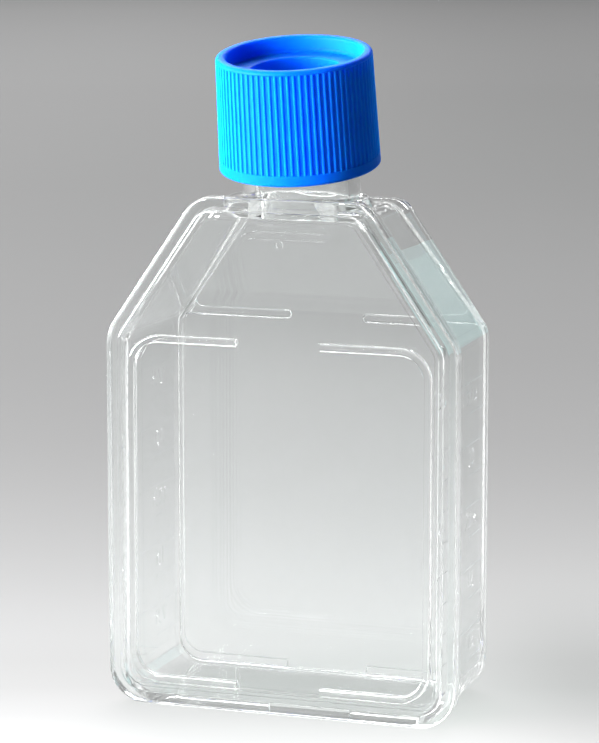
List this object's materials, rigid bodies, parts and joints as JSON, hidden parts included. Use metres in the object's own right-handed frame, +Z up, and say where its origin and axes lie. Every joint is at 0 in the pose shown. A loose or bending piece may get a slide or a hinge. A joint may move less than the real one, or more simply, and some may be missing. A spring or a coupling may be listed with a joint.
{
  "type": "cell culture flask",
  "caption": "Clear rectangular cell culture flask with sloping shoulders, a canted neck and a ribbed blue vented screw cap, standing on its end.",
  "frame": {"origin": "middle of the flat base that the flask stands on, midway between the outer faces of the window ribs and the growth side's rim", "axes": "+Z up towards the neck and the longest way, +X across the width, +Y towards the growth surface, -Y towards the window plate, where the neck leans"},
  "size_m": [0.0506, 0.0266, 0.0932],
  "materials": {
    "clear_polystyrene": "polished clear polystyrene, colourless with a faint grey-green edge",
    "clear_polystyrene_plate": "polished clear polystyrene window plate",
    "blue_polyethylene": "smooth moulded blue polyethylene, semi-gloss",
    "membrane_white": "white matte porous film"
  },
  "bodies": {
    "flask": {"flask_body": "clear_polystyrene", "front_plate": "clear_polystyrene_plate"},
    "cap_carrier": {"vent_membrane": "membrane_white"},
    "cap": {"screw_cap": "blue_polyethylene"}
  },
  "joints": [
    {"name": "cap_lift", "type": "slide", "parent": "flask", "child": "cap_carrier", "axis": [0, -0.1736, 0.9848], "range_m": [0, 0.01156]},
    {"name": "cap_turn", "type": "hinge", "parent": "cap_carrier", "child": "cap", "pos_m": [0, -0.0017, 0.07575], "axis": [0, -0.1736, 0.9848], "range_deg": [0, 1260]}
  ],
  "couplings": [
    {"joint": "cap_lift", "follows": "cap_turn", "m_per_rad": 0.00052521}
  ]
}
